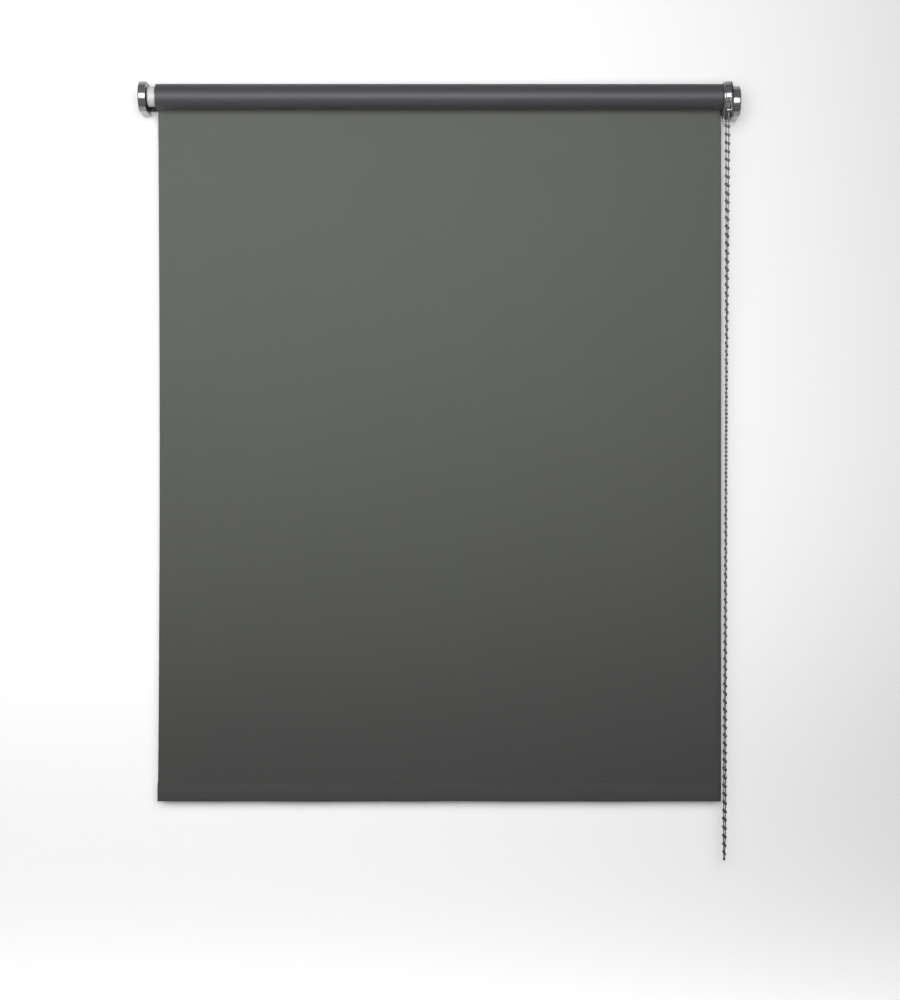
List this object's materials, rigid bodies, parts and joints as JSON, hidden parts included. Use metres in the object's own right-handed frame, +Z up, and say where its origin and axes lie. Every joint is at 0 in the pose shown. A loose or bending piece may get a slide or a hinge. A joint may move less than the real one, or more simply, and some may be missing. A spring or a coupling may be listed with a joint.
{
  "type": "roller blind",
  "caption": "Chain-driven roller blind on two wall brackets: a cloth sheet winds on a tube, with a weighted hem and a hanging bead-chain loop.",
  "frame": {"origin": "on the wall plane, midway between the brackets, level with the roller's axis", "axes": "+X along the roller towards the chain, +Y into the wall, +Z up"},
  "size_m": [0.6, 0.0643, 0.7799],
  "materials": {
    "moulding": "glossy dark metallic",
    "steel": "zinc plated",
    "painted_steel": "dark satin paint",
    "black_plastic": "moulded matte",
    "white_plastic": "moulded satin",
    "grey_plastic": "moulded satin",
    "aluminium": "mill",
    "cloth": "smooth coated polyester",
    "cloth_reverse": "satin coated reverse",
    "tape": "matte",
    "chain": "satin"
  },
  "bodies": {
    "brackets": {"left_bracket_cover": "moulding", "left_bracket": "painted_steel", "left_bracket_screw_1": "steel", "left_bracket_screw_2": "steel", "idle_pin_spring": "steel", "right_bracket_cover": "moulding", "right_bracket": "painted_steel", "right_bracket_screw_1": "steel", "right_bracket_screw_2": "steel", "clutch_core": "black_plastic", "clutch_flange": "moulding", "chain_guard": "moulding", "wrap_spring_1": "steel", "wrap_spring_2": "steel", "chain_in_clutch": "chain", "chain": "chain", "hanging_sheet": "cloth"},
    "roller": {"idle_end_plug": "white_plastic", "roller_tube": "aluminium", "cloth_tape": "tape", "cloth_roll": "cloth_reverse", "drive_hub": "black_plastic"},
    "wheel": {"chain_wheel": "grey_plastic"},
    "hem": {"hem_pocket": "cloth", "bottom_bar": "aluminium"},
    "pin": {"idle_pin": "steel"}
  },
  "joints": [
    {"name": "roller_turn", "type": "hinge", "parent": "brackets", "child": "roller", "pos_m": [0, -0.031, 0], "axis": [1, 0, 0], "range_deg": [-2751, 2934]},
    {"name": "wheel_turn", "type": "hinge", "parent": "brackets", "child": "wheel", "pos_m": [0.288, -0.031, 0], "axis": [1, 0, 0], "range_deg": [-2751, 2934]},
    {"name": "hem_travel", "type": "slide", "parent": "brackets", "child": "hem", "axis": [0, 0, 1], "range_m": [-0.6, 0.64], "deforming": ["hanging_sheet"]},
    {"name": "pin_push", "type": "slide", "parent": "brackets", "child": "pin", "axis": [1, 0, 0], "range_m": [0, 0.005], "stiffness_N_per_m": 400, "springref_m": -0.005, "deforming": ["idle_pin_spring"]}
  ],
  "couplings": [
    {"joint": "roller_turn", "follows": "hem_travel", "rad_per_m": 80},
    {"joint": "wheel_turn", "follows": "hem_travel", "rad_per_m": 80}
  ]
}
